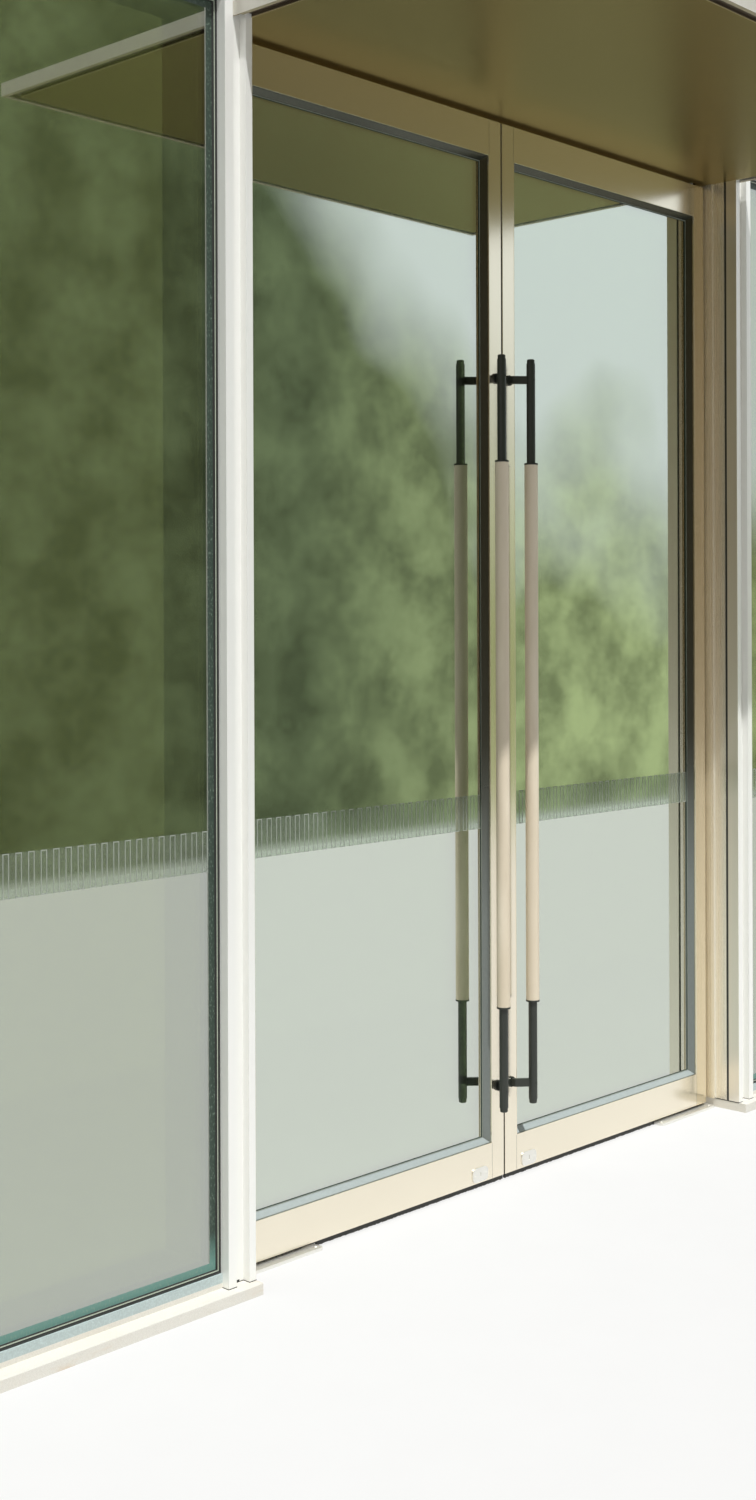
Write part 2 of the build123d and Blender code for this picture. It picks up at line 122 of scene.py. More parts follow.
class Finish:
    """A node material that is built up step by step round one Principled shader."""

    def __init__(self, name):
        self.material = bpy.data.materials.new(name)
        self.material.use_nodes = True
        self.tree = self.material.node_tree
        self.shader = self.tree.nodes["Principled BSDF"]
        self.output = self.tree.nodes["Material Output"]
        coordinates = self.add("ShaderNodeTexCoord").outputs
        self.place = coordinates["Object"]
        self.facing = coordinates["Normal"]

    def add(self, kind, **inputs):
        """A new node with some of its inputs set, by value or by link."""
        node = self.tree.nodes.new(kind)
        for key, value in inputs.items():
            self.feed(node.inputs[key.replace("_", " ")], value)
        return node

    def feed(self, socket, value):
        """Set a socket to a value, or link an output to it."""
        if isinstance(value, bpy.types.NodeSocket):
            self.tree.links.new(value, socket)
        else:
            socket.default_value = value

    def part(self, vector, axis):
        """One part of a vector: X, Y or Z."""
        return self.add("ShaderNodeSeparateXYZ", Vector=vector).outputs[axis]

    def stretched(self, scale):
        """Object coordinates scaled by a different factor along each axis."""
        return self.add("ShaderNodeMapping", Vector=self.place, Scale=scale).outputs["Vector"]

    def noise(self, place, scale=1.0, detail=2.0, roughness=0.5):
        """Smooth noise from 0 to 1."""
        noise = self.add("ShaderNodeTexNoise", Vector=place, Scale=scale, Detail=detail, Roughness=roughness)
        return noise.outputs["Fac"]

    def calculate(self, operation, first, second):
        """Arithmetic on two values."""
        step = self.tree.nodes.new("ShaderNodeMath")
        step.operation = operation
        self.feed(step.inputs[0], first)
        self.feed(step.inputs[1], second)
        return step.outputs[0]

    def spread(self, value, start, end, low=0.0, high=1.0):
        """Map a range of values to another range, and hold it at both ends."""
        ranged = self.add("ShaderNodeMapRange", Value=value)
        ranged.inputs["From Min"].default_value = start
        ranged.inputs["From Max"].default_value = end
        ranged.inputs["To Min"].default_value = low
        ranged.inputs["To Max"].default_value = high
        return ranged.outputs["Result"]

    def blend(self, factor, first, second):
        """Mix of two colours."""
        mix = self.tree.nodes.new("ShaderNodeMix")
        mix.data_type = "RGBA"
        self.feed(mix.inputs["Factor"], factor)
        self.feed(mix.inputs["A"], first)
        self.feed(mix.inputs["B"], second)
        return mix.outputs["Result"]

    def bump(self, height, strength, distance):
        """Relief on the surface."""
        relief = self.add("ShaderNodeBump", Height=height, Strength=strength, Distance=distance)
        self.feed(self.shader.inputs["Normal"], relief.outputs["Normal"])

    def set(self, **inputs):
        """Inputs of the shader, by value or by link."""
        for key, value in inputs.items():
            self.feed(self.shader.inputs[key.replace("_", " ")], value)

    def mix_surface(self, factor, first, second):
        """Make the surface a mix of two shaders."""
        mix = self.tree.nodes.new("ShaderNodeMixShader")
        for socket, value in zip(mix.inputs, (factor, first.outputs[0], second.outputs[0])):
            self.feed(socket, value)
        self.feed(self.output.inputs["Surface"], mix.outputs[0])


# In the values of the finishes, a RANGE is the stretch of a noise that fades from nothing to all. A COVER or
# a SHEEN has two more values: the cover, or the roughness, at the two ends of that stretch.

# Brushed metal, with the grain's scale along X, Y and Z
GRAIN_UP = (900.0, 900.0, 1.5)
GRAIN_ALONG = (1.5, 900.0, 900.0)
GRAIN_DEEP = (180.0, 3.0, 180.0)
STREAKS = {"detail": 3.0, "roughness": 0.6}
STREAK_RANGE = (0.25, 0.75)
STREAK_RELIEF = 0.05 * MM
CLOUDS = {"scale": 2.6, "detail": 3.0}
CLOUD_COVER = (0.3, 0.75, 0.0, 0.4)
SHEEN_RANGE = (0.2, 0.8)
SHEEN_BELOW = 0.03
SHEEN_ABOVE = 0.04
SKIN_DEPTH = 0.5 * MM
SKIN_METALLIC = 0.9


def doorway_side(finish):
    """Mask of the thin skin on the sides of the portal that face the doorway."""
    along = finish.part(finish.place, "X")
    left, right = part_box("mullion_left")[1][0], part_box("mullion_right")[0][0]
    past_left = finish.spread(along, left - 2 * SKIN_DEPTH, left - SKIN_DEPTH)
    before_right = finish.spread(along, right + SKIN_DEPTH, right + 2 * SKIN_DEPTH, 1.0, 0.0)
    return finish.calculate("MULTIPLY", past_left, before_right)


def brushed_metal(name, light, dark, grain, metallic, roughness, relief=0.02, edge=WHITE, skin=None):
    """Anodised brushed metal: fine streaks along the grain, faint clouds, and its own tone at a graze."""
    finish = Finish(name)
    streaks = finish.noise(finish.stretched(grain), **STREAKS)
    clouds = finish.noise(finish.place, **CLOUDS)
    streaked = finish.blend(finish.spread(streaks, *STREAK_RANGE), dark, light)
    clouded = finish.blend(finish.spread(clouds, *CLOUD_COVER), streaked, dark)
    if skin:
        mask = doorway_side(finish)
        clouded = finish.blend(mask, clouded, skin)
        metallic = finish.spread(mask, 0.0, 1.0, metallic, SKIN_METALLIC)
    sheen = finish.spread(streaks, *SHEEN_RANGE, roughness - SHEEN_BELOW, roughness + SHEEN_ABOVE)
    finish.set(Base_Color=clouded, Metallic=metallic, Specular_Tint=edge, Roughness=sheen)
    finish.bump(streaks, strength=relief, distance=STREAK_RELIEF)
    return finish.material


# Stone
STONE_DARK = colour(0.66, 0.635, 0.57)
STONE_LIGHT = colour(0.79, 0.77, 0.71)
STONE_STAIN = colour(0.71, 0.65, 0.54)
RUST = colour(0.62, 0.40, 0.20)
PITS = {"scale": 420.0, "detail": 4.0, "roughness": 0.7}
PIT_RANGE = (0.3, 0.7)
PIT_DEPTH = 0.3 * MM
STAINS = {"scale": 5.0, "detail": 4.0}
STAIN_COVER = (0.5, 0.8, 0.0, 0.5)
RUST_SCALE = (9.0, 9.0, 30.0)
RUST_PATCHES = {"detail": 4.0}
RUST_COVER = (0.55, 0.7, 0.0, 0.6)
RUST_FROM = 16 * MM
RUST_FULL = 4 * MM


def stone(name):
    """Pale beige stone, with fine pits, faint stains and a little rust along its foot."""
    finish = Finish(name)
    pits = finish.noise(finish.place, **PITS)
    stains = finish.noise(finish.place, **STAINS)
    patches = finish.noise(finish.stretched(RUST_SCALE), **RUST_PATCHES)
    near_foot = finish.spread(finish.part(finish.place, "Z"), RUST_FULL, RUST_FROM, 1.0, 0.0)
    speckled = finish.blend(finish.spread(pits, *PIT_RANGE), STONE_DARK, STONE_LIGHT)
    stained = finish.blend(finish.spread(stains, *STAIN_COVER), speckled, STONE_STAIN)
    rusty = finish.calculate("MULTIPLY", near_foot, finish.spread(patches, *RUST_COVER))
    finish.set(Base_Color=finish.blend(rusty, stained, RUST), Roughness=0.75)
    finish.bump(pits, strength=0.25, distance=PIT_DEPTH)
    return finish.material


# Weathered sheet metal, with painted shade on its underside
WEATHERED_LIGHT = colour(0.70, 0.68, 0.61)
WEATHERED_DARK = colour(0.62, 0.595, 0.52)
WEATHERED_RUN = colour(0.61, 0.575, 0.50)
WEATHERED_PAINTED_SHADE = colour(0.36, 0.315, 0.21)
DULLING = {"scale": 7.0, "detail": 6.0, "roughness": 0.65}
DULLING_RANGE = (0.35, 0.7)
DULLING_SHEEN = (0.3, 0.7, 0.42, 0.62)
DULLING_RELIEF = 0.3 * MM
RUN_SCALE = (38.0, 38.0, 4.0)
RUNS = {"detail": 3.0}
RUN_COVER = (0.55, 0.75, 0.0, 0.5)
PAINTED_SHADE_FACING = (-0.7, -0.3)


def weathered_metal(name):
    """Sheet metal that has dulled in the rain: cloudy stains, runs down its face, and painted shade on its
    underside.
    """
    finish = Finish(name)
    clouds = finish.noise(finish.place, **DULLING)
    runs = finish.noise(finish.stretched(RUN_SCALE), **RUNS)
    tone = finish.blend(finish.spread(clouds, *DULLING_RANGE), WEATHERED_LIGHT, WEATHERED_DARK)
    streaked = finish.blend(finish.spread(runs, *RUN_COVER), tone, WEATHERED_RUN)
    # Painted shade: faces that look down get a darker brown than the others.
    upper = finish.spread(finish.part(finish.facing, "Z"), *PAINTED_SHADE_FACING)
    finish.set(Base_Color=finish.blend(upper, WEATHERED_PAINTED_SHADE, streaked), Metallic=0.3)
    finish.set(Roughness=finish.spread(clouds, *DULLING_SHEEN))
    finish.bump(clouds, strength=0.1, distance=DULLING_RELIEF)
    return finish.material


# Rubber
BLOOM = {"scale": 240.0, "detail": 3.0}
BLOOM_RANGE = (0.4, 0.8)
BLOOM_LIFT = 1.25
BLOOM_SHEEN = (0.3, 0.8, 0.42, 0.6)
BLOOM_RELIEF = 0.3 * MM


def rubber(name, shade):
    """Dark extruded rubber with a faint bloom."""
    finish = Finish(name)
    bloom = finish.noise(finish.place, **BLOOM)
    pale = colour(*[BLOOM_LIFT * part for part in shade])
    finish.set(Base_Color=finish.blend(finish.spread(bloom, *BLOOM_RANGE), colour(*shade), pale))
    finish.set(Roughness=finish.spread(bloom, *BLOOM_SHEEN))
    finish.bump(bloom, strength=0.05, distance=BLOOM_RELIEF)
    return finish.material


# Painted sunlight on the beads: pale where they face up, and low down, fading in from the upper height to the
# lower one
PAINTED_LIGHT_MOTTLE = {"scale": 150.0, "detail": 3.0}
PAINTED_LIGHT_MOTTLE_COVER = (0.2, 0.7, 0.85, 1.0)
PAINTED_LIGHT_FACING_UP_COVER = (0.3, 0.7, 0.0, 0.9)
PAINTED_LIGHT_TOP = 1.25
PAINTED_LIGHT_FULL = 0.75
PAINTED_LIGHT_LOW_COVER = 0.4


def bead_with_painted_light(name, shade, overlay):
    """Dark anodised bead, with pale painted sunlight where it faces up and towards the ground."""
    finish = Finish(name)
    grain = finish.spread(finish.noise(finish.place, **PAINTED_LIGHT_MOTTLE), *PAINTED_LIGHT_MOTTLE_COVER)
    # Painted light: the bead turns pale where it faces up and low down, as if lit by the sun.
    lit_from_above = finish.spread(finish.part(finish.facing, "Z"), *PAINTED_LIGHT_FACING_UP_COVER)
    lit_low = finish.spread(finish.part(finish.place, "Z"), PAINTED_LIGHT_TOP, PAINTED_LIGHT_FULL, 0.0, PAINTED_LIGHT_LOW_COVER)
    painted_light = finish.calculate("MULTIPLY", finish.calculate("MAXIMUM", lit_from_above, lit_low), grain)
    finish.set(Base_Color=finish.blend(painted_light, colour(*shade), colour(*overlay)))
    finish.set(Metallic=finish.spread(painted_light, 0.0, 1.0, 0.85, 0.1))
    finish.set(Roughness=finish.spread(painted_light, 0.0, 1.0, 0.24, 0.6))
    return finish.material


# Edge seal of the side panes, made paler at its foot by painted sunlight
SEAL_TONE = colour(0.035, 0.058, 0.043)
SEAL_PAINTED_SUNLIT_TONE = colour(0.13, 0.27, 0.23)
SEAL_SPECKLE = colour(0.26, 0.34, 0.27)
SEAL_FOOT = (0.09, 0.16)
SPECKLE_SCALE = (260.0, 260.0, 120.0)
SPECKLES = {"detail": 2.0}
SPECKLE_COVER = (0.56, 0.74, 0.0, 0.7)
SPECKLE_RELIEF = 0.3 * MM


def speckled_seal(name):
    """Dark green edge seal of an insulating pane, with pale speckles and painted sunlight along its foot."""
    finish = Finish(name)
    speckles = finish.noise(finish.stretched(SPECKLE_SCALE), **SPECKLES)
    # Painted light: low down the seal turns to a paler tone, as if in the sun.
    foot = finish.spread(finish.part(finish.place, "Z"), *SEAL_FOOT, 1.0, 0.0)
    tone = finish.blend(foot, SEAL_TONE, SEAL_PAINTED_SUNLIT_TONE)
    finish.set(Base_Color=finish.blend(finish.spread(speckles, *SPECKLE_COVER), tone, SEAL_SPECKLE))
    finish.set(Roughness=0.45)
    finish.bump(speckles, strength=0.05, distance=SPECKLE_RELIEF)
    return finish.material


# Black powder coat
COAT_DARK = colour(0.016, 0.020, 0.016)
COAT_DUSTY = colour(0.040, 0.046, 0.037)
COAT_PEEL = {"scale": 900.0, "detail": 2.0}
COAT_PEEL_HEIGHT = 0.25 * MM
COAT_DUST_SCALE = (30.0, 30.0, 3.0)
COAT_DUST = {"detail": 3.0}
COAT_SHEEN = (0.3, 0.7, 0.38, 0.5)


def powder_coat(name):
    """Black powder coat with its fine orange-peel texture."""
    finish = Finish(name)
    peel = finish.noise(finish.place, **COAT_PEEL)
    overlay = finish.noise(finish.stretched(COAT_DUST_SCALE), **COAT_DUST)
    finish.set(Base_Color=finish.blend(overlay, COAT_DARK, COAT_DUSTY))
    finish.set(Roughness=finish.spread(overlay, *COAT_SHEEN))
    finish.bump(peel, strength=0.18, distance=COAT_PEEL_HEIGHT)
    return finish.material


# Covering of the grips
LEATHER_DARK = colour(0.70, 0.61, 0.465)
LEATHER_LIGHT = colour(0.83, 0.745, 0.595)
PEBBLE_SCALE = (650.0, 650.0, 420.0)
PEBBLE_HEIGHT = 0.3 * MM
WEAR_SCALE = (14.0, 14.0, 2.5)
WEAR = {"detail": 4.0}
WEAR_RANGE = (0.35, 0.7)
WEAR_SHEEN = (0.3, 0.7, 0.55, 0.68)


def leather(name):
    """Taupe grip covering with fine pebbled grain and handling marks."""
    finish = Finish(name)
    pebble = finish.add("ShaderNodeTexVoronoi", Vector=finish.stretched(PEBBLE_SCALE), Scale=1.0)
    wear = finish.noise(finish.stretched(WEAR_SCALE), **WEAR)
    tone = finish.blend(finish.spread(wear, *WEAR_RANGE), LEATHER_DARK, LEATHER_LIGHT)
    finish.set(Base_Color=tone, Roughness=finish.spread(wear, *WEAR_SHEEN), Specular_IOR_Level=0.3)
    finish.bump(pebble.outputs["Distance"], strength=0.2, distance=PEBBLE_HEIGHT)
    return finish.material


# Stainless steel
STEEL_DARK = colour(0.80, 0.79, 0.74)
STEEL_LIGHT = colour(0.92, 0.91, 0.87)
SCRATCHES = {"scale": 700.0, "detail": 3.0}
SCRATCH_SHEEN = (0.3, 0.7, 0.3, 0.42)
SCRATCH_DEPTH = 0.2 * MM


def satin_steel(name):
    """Satin stainless steel with a turned finish and light scratches."""
    finish = Finish(name)
    fine = finish.noise(finish.place, **SCRATCHES)
    finish.set(Base_Color=finish.blend(fine, STEEL_DARK, STEEL_LIGHT), Metallic=0.75)
    finish.set(Roughness=finish.spread(fine, *SCRATCH_SHEEN))
    finish.bump(fine, strength=0.05, distance=SCRATCH_DEPTH)
    return finish.material


# Glass, and the film on it
HAZE = {"scale": 3.0, "detail": 3.0}
HAZE_SHARE = 0.93
MIRROR_TONE = colour(0.95, 1.0, 0.94)
MIRROR_STEEPNESS = 5.0
FILM_CLEAR = colour(0.96, 0.98, 0.96)
FILM_MOTTLE = {"scale": 90.0, "detail": 3.0}
FILM_RANGE = (0.3, 0.7)
FILM_THIN = 0.85
FILM_THICK = 1.15


def tinted_glass(name, tint, reflection):
    """Tinted pane: clear to what is behind it, with the mirror of its surface by angle."""
    finish = Finish(name)
    haze = finish.noise(finish.place, **HAZE)
    shade = colour(*[HAZE_SHARE * part for part in tint])
    clear = finish.add("ShaderNodeBsdfTransparent", Color=finish.blend(haze, shade, colour(*tint)))
    mirror = finish.add("ShaderNodeBsdfGlossy", Color=MIRROR_TONE, Roughness=0.02)
    facing = finish.add("ShaderNodeLayerWeight", Blend=0.5).outputs["Facing"]
    rise = finish.calculate("POWER", facing, MIRROR_STEEPNESS)
    finish.mix_surface(finish.spread(rise, 0.0, 1.0, reflection, 1.0), clear, mirror)
    finish.tree.nodes.remove(finish.shader)
    return finish.material


def window_film(name, tone, cover):
    """Etched film on a pane: mostly clear, with a share of pale scatter."""
    finish = Finish(name)
    mottle = finish.noise(finish.place, **FILM_MOTTLE)
    clear = finish.add("ShaderNodeBsdfTransparent", Color=FILM_CLEAR)
    finish.set(Base_Color=tone, Roughness=0.7)
    share = finish.spread(mottle, *FILM_RANGE, FILM_THIN * cover, FILM_THICK * cover)
    finish.mix_surface(share, clear, finish.shader)
    return finish.material


CHAMPAGNE = colour(0.93, 0.865, 0.725)
CHAMPAGNE_DARK = colour(0.88, 0.81, 0.665)
HEEL = colour(0.90, 0.80, 0.605)
HEEL_DARK = colour(0.85, 0.75, 0.56)
LINING = colour(0.94, 0.905, 0.81)
LINING_DARK = colour(0.90, 0.855, 0.755)
PORTAL = colour(0.94, 0.94, 0.905)
PORTAL_DARK = colour(0.93, 0.93, 0.895)
SOFFIT = colour(0.235, 0.19, 0.086)
SOFFIT_DARK = colour(0.19, 0.152, 0.065)
SOFFIT_EDGE = colour(0.93, 0.87, 0.68)
TRIM = colour(0.56, 0.48, 0.30)
TRIM_DARK = colour(0.50, 0.42, 0.26)
SPACER = colour(0.66, 0.69, 0.52)
SPACER_DARK = colour(0.58, 0.61, 0.45)
BEAD = (0.085, 0.09, 0.072)
# Pale tone of the painted sunlight on the beads
BEAD_PAINTED_LIGHT = (0.42, 0.475, 0.475)

portal_metal = brushed_metal(
    "portal_metal", PORTAL, PORTAL_DARK, GRAIN_UP, metallic=0.22, roughness=0.34, relief=0.01,
    skin=LINING_DARK,
)
head_metal = brushed_metal("head_metal", PORTAL, PORTAL_DARK, GRAIN_ALONG, metallic=0.38, roughness=0.30)
jamb_metal = brushed_metal(
    "jamb_metal", LINING, LINING_DARK, GRAIN_UP, metallic=0.80, roughness=0.27, relief=0.006
)
stile_metal = brushed_metal(
    "stile_metal", CHAMPAGNE, CHAMPAGNE_DARK, GRAIN_UP, metallic=0.93, roughness=0.17
)
rail_metal = brushed_metal(
    "rail_metal", CHAMPAGNE, CHAMPAGNE_DARK, GRAIN_ALONG, metallic=0.94, roughness=0.19
)
heel_metal = brushed_metal(
    "heel_metal", HEEL, HEEL_DARK, GRAIN_UP, metallic=0.94, roughness=0.21, relief=0.01
)
soffit_metal = brushed_metal(
    "soffit_metal", SOFFIT, SOFFIT_DARK, GRAIN_DEEP, metallic=0.92, roughness=0.34, relief=0.1,
    edge=SOFFIT_EDGE,
)
trim_metal = brushed_metal(
    "trim_metal", TRIM, TRIM_DARK, GRAIN_ALONG, metallic=0.92, roughness=0.34, edge=SOFFIT_EDGE
)
spacer_metal = brushed_metal("spacer_metal", SPACER, SPACER_DARK, GRAIN_UP, metallic=0.6, roughness=0.4)
bead_metal = bead_with_painted_light("bead_metal", BEAD, BEAD_PAINTED_LIGHT)
fascia_metal = weathered_metal("fascia_metal")
fitting_steel = satin_steel("fitting_steel")
black_coat = powder_coat("black_coat")
grip_leather = leather("grip_leather")
plinth_stone = stone("plinth_stone")
sealant_grey = rubber("sealant_grey", (0.43, 0.51, 0.51))
sealant_pale = rubber("sealant_pale", (0.30, 0.33, 0.28))
# Dark brown for the painted shade inside the canopy's joint
joint_painted_shade = rubber("joint_painted_shade", (0.060, 0.042, 0.024))
gasket_rubber = rubber("gasket_rubber", (0.020, 0.022, 0.019))
brush_fibre = rubber("brush_fibre", (0.018, 0.018, 0.015))
pane_shadow = rubber("pane_shadow", (0.018, 0.040, 0.030))
pane_edge = rubber("pane_edge", (0.40, 0.45, 0.36))
edge_seal = speckled_seal("edge_seal")
leaf_pane = tinted_glass("leaf_pane", tint=(0.36, 0.42, 0.30), reflection=0.60)
bay_pane = tinted_glass("bay_pane", tint=(0.34, 0.37, 0.20), reflection=0.44)
veil_film = window_film("veil_film", tone=colour(0.40, 0.44, 0.37), cover=0.12)
etched_film = window_film("etched_film", tone=colour(0.51, 0.55, 0.49), cover=0.50)

FINISHES = {
    "plinth": plinth_stone,
    "mullion": portal_metal,
    "end_mullion": portal_metal,
    "jamb": jamb_metal,
    "sill_channel": sealant_grey,
    "head_transom": head_metal,
    "head_beam": head_metal,
    "canopy_soffit": soffit_metal,
    "canopy_shell": fascia_metal,
    "side_glass": bay_pane,
    "side_gasket": gasket_rubber,
    "floor_closer": fitting_steel,
    "top_pivot": fitting_steel,
    "hinge_stile": heel_metal,
    "meeting_stile": stile_metal,
    "top_rail": rail_metal,
    "bottom_rail": rail_metal,
    "leaf_glass": leaf_pane,
    "leaf_gasket": bead_metal,
    "floor_lock": fitting_steel,
    "outer_pull": black_coat,
    "inner_pull": black_coat,
    "outer_grip": grip_leather,
    "inner_grip": grip_leather,
}

# Edges that are rounded a little, and round faces that are smoothed
SOFT_EDGE = 0.8 * MM
SOFT_ANGLE = math.radians(40)
SOFT_EDGED = (
    "plinth", "mullion", "end_mullion", "jamb", "head_beam", "head_transom", "canopy_soffit", "canopy_shell",
    "hinge_stile", "meeting_stile", "top_rail", "bottom_rail",
)
SHARP_ANGLE = math.radians(35)
SMOOTHED = (
    "outer_pull", "inner_pull", "outer_grip", "inner_grip", "floor_closer", "top_pivot", "hinge_stile",
    "floor_lock",
)


def kind_of(node_name):
    """A node's name without its side."""
    for side in SIDES:
        node_name = node_name.removesuffix(f"_{side}")
    return node_name


def soften_edges(piece, width=SOFT_EDGE):
    """Round the sharp edges so that they catch the light."""
    bevel = piece.modifiers.new("soft_edges", "BEVEL")
    bevel.width = width
    bevel.segments = 2
    bevel.limit_method = "ANGLE"
    bevel.angle_limit = SOFT_ANGLE
    bevel.harden_normals = False


for node_name, node in nodes.items():
    kind = kind_of(node_name)
    for slot in node.material_slots:
        slot.material = FINISHES[kind]
    if kind in SOFT_EDGED:
        soften_edges(node)
    if kind in SMOOTHED:
        node.data.shade_smooth()
        node.data.set_sharp_from_angle(angle=SHARP_ANGLE)


def add_piece(name, mesh_data, finish, body, soft=0.0):
    """A new object from a bmesh, with its finish, carried by a body."""
    bmesh.ops.recalc_face_normals(mesh_data, faces=mesh_data.faces)
    mesh = bpy.data.meshes.new(name)
    mesh_data.to_mesh(mesh)
    mesh_data.free()
    mesh.materials.append(finish)
    piece = bpy.data.objects.new(name, mesh)
    bpy.context.scene.collection.objects.link(piece)
    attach(piece, body)
    if soft:
        soften_edges(piece, soft)


def add_block(mesh_data, low, high):
    """Closed block between two corners."""
    corners = [
        mesh_data.verts.new((x, y, z))
        for x in (low[0], high[0]) for y in (low[1], high[1]) for z in (low[2], high[2])
    ]
    for face in ((0, 1, 3, 2), (4, 6, 7, 5), (0, 4, 5, 1), (2, 3, 7, 6), (0, 2, 6, 4), (1, 5, 7, 3)):
        mesh_data.faces.new([corners[i] for i in face])


def add_ring(mesh_data, daylight, inset, width, near, far):
    """Closed rectangular ring in the plane of a pane, with mitred corners."""
    left, right, bottom, top = daylight
    loops = []
    for y in (near, far):
        for step in (inset, inset + width):
            corners = (
                (left + step, bottom + step), (right - step, bottom + step),
                (right - step, top - step), (left + step, top - step),
            )
            loops.append([mesh_data.verts.new((x, y, z)) for x, z in corners])
    near_outer, near_inner, far_outer, far_inner = loops
    for first, second in (
        (near_outer, near_inner), (near_inner, far_inner), (far_inner, far_outer), (far_outer, near_outer)
    ):
        for i in range(4):
            j = (i + 1) % 4
            mesh_data.faces.new((first[i], first[j], second[j], second[i]))


def add_turned(mesh_data, centre, facing, profile, segments, hexagon):
    """Closed turned form from rings of (radius, height); the rings numbered in hexagon are six-sided."""
    axis = Vector(facing).normalized()
    side = axis.orthogonal().normalized()
    other = axis.cross(side)
    rings = []
    for number, (radius, height) in enumerate(profile):
        ring = []
        for i in range(segments):
            angle = 2 * math.pi * i / segments
            reach = radius
            if number in hexagon:
                reach = radius * math.cos(math.pi / 6) / math.cos((angle % (math.pi / 3)) - math.pi / 6)
            spot = Vector(centre) + axis * height + side * reach * math.cos(angle)
            ring.append(mesh_data.verts.new(spot + other * reach * math.sin(angle)))
        rings.append(ring)
    for first, second in zip(rings, rings[1:]):
        for i in range(segments):
            j = (i + 1) % segments
            mesh_data.faces.new((first[i], first[j], second[j], second[i]))
    mesh_data.faces.new(list(reversed(rings[0])))
    mesh_data.faces.new(rings[-1])


# Socket screw: its rings as (radius, height) in shares of the head's radius, and which rings are the socket
SCREW_HEAD = ((1.0, -0.2), (1.0, 0.25), (0.85, 0.4), (0.5, 0.4), (0.5, -0.1))
SCREW_HEXAGON = (3, 4)
SCREW_SEGMENTS = 24


def add_screw(mesh_data, centre, facing, radius):
    """Socket screw head, flush with the face that it is in."""
    profile = [(share * radius, rise * radius) for share, rise in SCREW_HEAD]
    add_turned(mesh_data, centre, facing, profile, SCREW_SEGMENTS, SCREW_HEXAGON)


def stretch(first, second, axis):
    """The free stretch between two nodes along an axis, from the end of the one to the start of the other."""
    spans = sorted((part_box(name)[0][axis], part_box(name)[1][axis]) for name in (first, second))
    return spans[0][1], spans[1][0]


def leaf_daylight(side):
    """Edges of a leaf's clear opening: left, right, bottom, top."""
    left, right = stretch(f"hinge_stile_{side}", f"meeting_stile_{side}", 0)
    bottom, top = stretch(f"bottom_rail_{side}", f"top_rail_{side}", 2)
    return left, right, bottom, top


def bay_daylight(side):
    """Edges of a bay's clear opening: left, right, bottom, top."""
    left, right = stretch(f"end_mullion_{side}", f"mullion_{side}", 0)
    bottom, top = stretch(f"sill_channel_{side}", f"head_transom_{side}", 2)
    return left, right, bottom, top


# Etched marks at hip height, one row across every pane
MARK_BOTTOM = 1.0065
MARK_TOP = 1.103
MARK_WIDTH = 16.9 * MM
MARK_PITCH = 32.8 * MM
MARK_LINE = 2.6 * MM
MARK_START = 29.0 * MM
FILM_THICKNESS = 0.2 * MM
VEIL_MARGIN = 1.0 * MM


def add_marks(name, side, daylight, face, body, inset):
    """Row of etched outlines on the street face of a pane, and the faint veil that they stand on."""
    left, right = daylight[:2]
    marks = bmesh.new()
    centre = MARK_START
    while centre < right - left - MARK_START / 2:
        middle = left + centre if side == "left" else right - centre
        outline = (middle - MARK_WIDTH / 2, middle + MARK_WIDTH / 2, MARK_BOTTOM, MARK_TOP)
        add_ring(marks, outline, 0.0, MARK_LINE, face - 2 * FILM_THICKNESS, face - FILM_THICKNESS)
        centre += MARK_PITCH
    add_piece(f"{name}_marks_{side}", marks, etched_film, body)
    veil = bmesh.new()
    add_block(
        veil, (left + inset + VEIL_MARGIN, face - FILM_THICKNESS, MARK_BOTTOM),
        (right - inset - VEIL_MARGIN, face - FILM_THICKNESS / 4, MARK_TOP),
    )
    add_piece(f"{name}_veil_{side}", veil, veil_film, body)


# Lines round the panes, from the edge of the daylight inwards
LEAF_BEAD_REACH = 15 * MM
TAPE_WIDTH = 1.6 * MM
TAPE_RISE = 1.2 * MM
SHADE_WIDTH = 2.4 * MM
EDGE_WIDTH = 2.2 * MM
EDGE_RISE = 0.5 * MM
BAY_BEAD_REACH = 10 * MM
SPACER_WIDTH = 7 * MM
SPACER_MARGIN = 4 * MM
INNER_TAPE_WIDTH = 3 * MM
PANE_EDGE_WIDTH = 2.5 * MM
PANE_EDGE_RISE = 0.4 * MM
EDGE_SEAL_WIDTH = 18 * MM


def line_leaf_pane(side):
    """Pale sealing tape and dark shadow line where the beads of a leaf meet its pane, on both faces."""
    daylight = leaf_daylight(side)
    low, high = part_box(f"leaf_glass_{side}")
    tape, shade = bmesh.new(), bmesh.new()
    for face, outward in ((low[1], -1), (high[1], 1)):
        add_ring(tape, daylight, LEAF_BEAD_REACH, TAPE_WIDTH, face, face + outward * TAPE_RISE)
        add_ring(
            shade, daylight, LEAF_BEAD_REACH + TAPE_WIDTH, SHADE_WIDTH, face, face + outward * TAPE_RISE / 2
        )
    add_piece(f"leaf_tape_{side}", tape, sealant_pale, f"leaf_{side}")
    add_piece(f"leaf_shade_{side}", shade, pane_shadow, f"leaf_{side}")


def edge_leaf_pane(side):
    """Rounded metal edge where the stiles and rails of a leaf turn in to the beads, on both faces."""
    daylight = leaf_daylight(side)
    low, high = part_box(f"bottom_rail_{side}")
    edge = bmesh.new()
    for face, outward in ((low[1], -1), (high[1], 1)):
        near, far = face - outward * EDGE_WIDTH, face + outward * EDGE_RISE
        add_ring(edge, daylight, 0.0, EDGE_WIDTH, near, far)
    add_piece(f"leaf_edge_{side}", edge, stile_metal, f"leaf_{side}", soft=EDGE_RISE)


